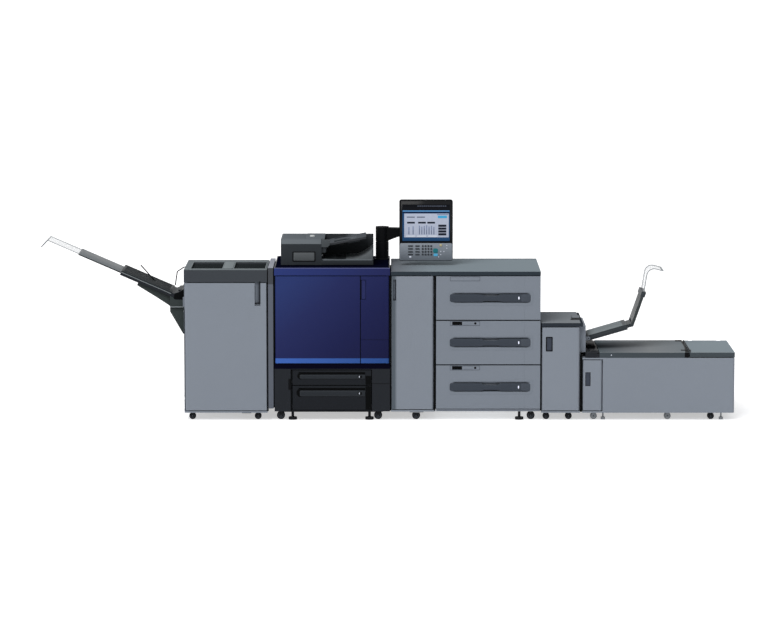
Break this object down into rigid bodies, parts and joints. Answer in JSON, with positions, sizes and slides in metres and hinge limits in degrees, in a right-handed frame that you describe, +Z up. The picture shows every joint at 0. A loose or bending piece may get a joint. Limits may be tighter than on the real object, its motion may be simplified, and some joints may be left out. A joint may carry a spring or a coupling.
{
  "type": "digital production print line",
  "caption": "Row of docked cabinets: finisher with a sloping output tray, print engine with document feeder and operator panel, drawer cabinet, relay unit with bypass tray, long feeder.",
  "frame": {"origin": "on the floor, at the middle of the bounding box", "axes": "+X along the line, from the finisher to the long feeder; the fronts face -Y; +Z up"},
  "size_m": [4.5712, 0.74, 1.427],
  "materials": {
    "grey_cover": "light grey textured cover",
    "dark_cover": "dark grey textured cover",
    "black_cover": "black textured cover",
    "slate_cover": "slate grey textured cover",
    "blue_door": "deep blue painted cover",
    "navy_band": "navy painted band",
    "clear_plate": "clear sheet",
    "inner_metal": "plain zinc-grey metal",
    "wheel": "black wheels"
  },
  "bodies": {
    "line": {"finisher_cabinet": "grey_cover", "finisher_top": "dark_cover", "paper_arm": "black_cover", "filler_unit": "slate_cover", "docking_blocks": "black_cover", "casters": "wheel", "levelling_feet": "black_cover", "engine_housing": "dark_cover", "engine_top": "navy_band", "engine_sill": "navy_band", "engine_lower_left": "black_cover", "engine_lower_right": "black_cover", "engine_lower_shell": "black_cover", "feeder_hinges": "black_cover", "panel_post": "black_cover", "feed_housing": "grey_cover", "feed_side_wall": "grey_cover", "feed_floor": "dark_cover", "feed_back": "grey_cover", "work_table": "slate_cover", "drawer_runners": "inner_metal", "relay_cabinet": "grey_cover", "relay_top": "dark_cover", "relay_inlet": "slate_cover", "long_housing": "grey_cover", "long_cover": "slate_cover", "long_bridge": "black_cover"},
    "finisher_door": {"finisher_door": "grey_cover"},
    "output_tray": {"output_tray": "black_cover"},
    "tray_slide": {"tray_slide": "grey_cover"},
    "tray_clear_end": {"tray_clear_end": "clear_plate"},
    "engine_main_door": {"engine_main_door": "blue_door"},
    "engine_side_door": {"engine_side_door": "blue_door"},
    "engine_drawer_upper": {"engine_drawer_upper": "black_cover"},
    "engine_drawer_lower": {"engine_drawer_lower": "black_cover"},
    "document_feeder": {"document_feeder": "dark_cover"},
    "original_tray": {"original_tray": "slate_cover"},
    "panel_arm": {"panel_arm": "black_cover"},
    "operator_panel": {"operator_panel": "dark_cover"},
    "feed_door": {"feed_door": "grey_cover"},
    "feed_drawer_top": {"feed_drawer_top": "grey_cover"},
    "feed_drawer_middle": {"feed_drawer_middle": "grey_cover"},
    "feed_drawer_bottom": {"feed_drawer_bottom": "grey_cover"},
    "relay_door": {"relay_door": "grey_cover"},
    "bypass_tray": {"bypass_tray": "slate_cover"},
    "bypass_flap": {"bypass_flap": "black_cover", "bypass_clear_end": "clear_plate"},
    "long_door": {"long_door": "grey_cover"},
    "tail_cover": {"tail_cover": "slate_cover"}
  },
  "joints": [
    {"name": "finisher_door_hinge", "type": "hinge", "parent": "line", "child": "finisher_door", "pos_m": [-1.32185, -0.358, 0.3], "axis": [0, 0, -1], "range_deg": [0, 100]},
    {"name": "output_tray_lift", "type": "slide", "parent": "line", "child": "output_tray", "axis": [0, 0, 1], "range_m": [-0.35, 0]},
    {"name": "tray_slide_extension", "type": "slide", "parent": "output_tray", "child": "tray_slide", "axis": [-0.9171, 0, 0.3987], "range_m": [-0.26, 0]},
    {"name": "clear_end_extension", "type": "slide", "parent": "tray_slide", "child": "tray_clear_end", "axis": [-0.9171, 0, 0.3987], "range_m": [-0.2, 0]},
    {"name": "engine_main_door_hinge", "type": "hinge", "parent": "line", "child": "engine_main_door", "pos_m": [-0.72885, -0.358, 0.3], "axis": [0, 0, -1], "range_deg": [0, 100]},
    {"name": "engine_side_door_hinge", "type": "hinge", "parent": "line", "child": "engine_side_door", "pos_m": [-0.00385, -0.358, 0.3], "axis": [0, 0, 1], "range_deg": [0, 100]},
    {"name": "engine_drawer_upper_slide", "type": "slide", "parent": "line", "child": "engine_drawer_upper", "axis": [0, -1, 0], "range_m": [0, 0.45]},
    {"name": "engine_drawer_lower_slide", "type": "slide", "parent": "line", "child": "engine_drawer_lower", "axis": [0, -1, 0], "range_m": [0, 0.45]},
    {"name": "document_feeder_lift", "type": "hinge", "parent": "line", "child": "document_feeder", "pos_m": [-0.40135, 0.152, 1.032], "axis": [-1, 0, 0], "range_deg": [0, 60]},
    {"name": "original_tray_lift", "type": "hinge", "parent": "document_feeder", "child": "original_tray", "pos_m": [-0.41235, -0.076, 1.145], "axis": [0, -1, 0], "range_deg": [0, 35]},
    {"name": "panel_swivel", "type": "hinge", "parent": "line", "child": "panel_arm", "pos_m": [-0.03835, 0.133, 1.17], "axis": [0, 0, 1], "range_deg": [-35, 35]},
    {"name": "panel_tilt", "type": "hinge", "parent": "panel_arm", "child": "operator_panel", "pos_m": [0.25365, 0.038, 1.206], "axis": [-1, 0, 0], "range_deg": [0, 45]},
    {"name": "feed_door_hinge", "type": "hinge", "parent": "line", "child": "feed_door", "pos_m": [0.28615, -0.358, 0.3], "axis": [0, 0, 1], "range_deg": [0, 90]},
    {"name": "feed_drawer_top_slide", "type": "slide", "parent": "line", "child": "feed_drawer_top", "axis": [0, -1, 0], "range_m": [0, 0.5]},
    {"name": "feed_drawer_middle_slide", "type": "slide", "parent": "line", "child": "feed_drawer_middle", "axis": [0, -1, 0], "range_m": [0, 0.5]},
    {"name": "feed_drawer_bottom_slide", "type": "slide", "parent": "line", "child": "feed_drawer_bottom", "axis": [0, -1, 0], "range_m": [0, 0.5]},
    {"name": "relay_door_hinge", "type": "hinge", "parent": "line", "child": "relay_door", "pos_m": [1.24915, -0.358, 0.3], "axis": [0, 0, 1], "range_deg": [0, 100]},
    {"name": "bypass_tray_fold", "type": "hinge", "parent": "line", "child": "bypass_tray", "pos_m": [1.32765, -0.093, 0.528], "axis": [0, -1, 0], "range_deg": [0, 73.8]},
    {"name": "bypass_flap_unfold", "type": "hinge", "parent": "bypass_tray", "child": "bypass_flap", "pos_m": [1.61574, -0.093, 0.6117], "axis": [0, 1, 0], "range_deg": [0, 54.8]},
    {"name": "long_door_hinge", "type": "hinge", "parent": "line", "child": "long_door", "pos_m": [1.39815, -0.358, 0.3], "axis": [0, 0, 1], "range_deg": [0, 100]},
    {"name": "tail_cover_lift", "type": "hinge", "parent": "line", "child": "tail_cover", "pos_m": [2.13465, 0.21475, 0.43775], "axis": [-1, 0, 0], "range_deg": [0, 80]}
  ]
}
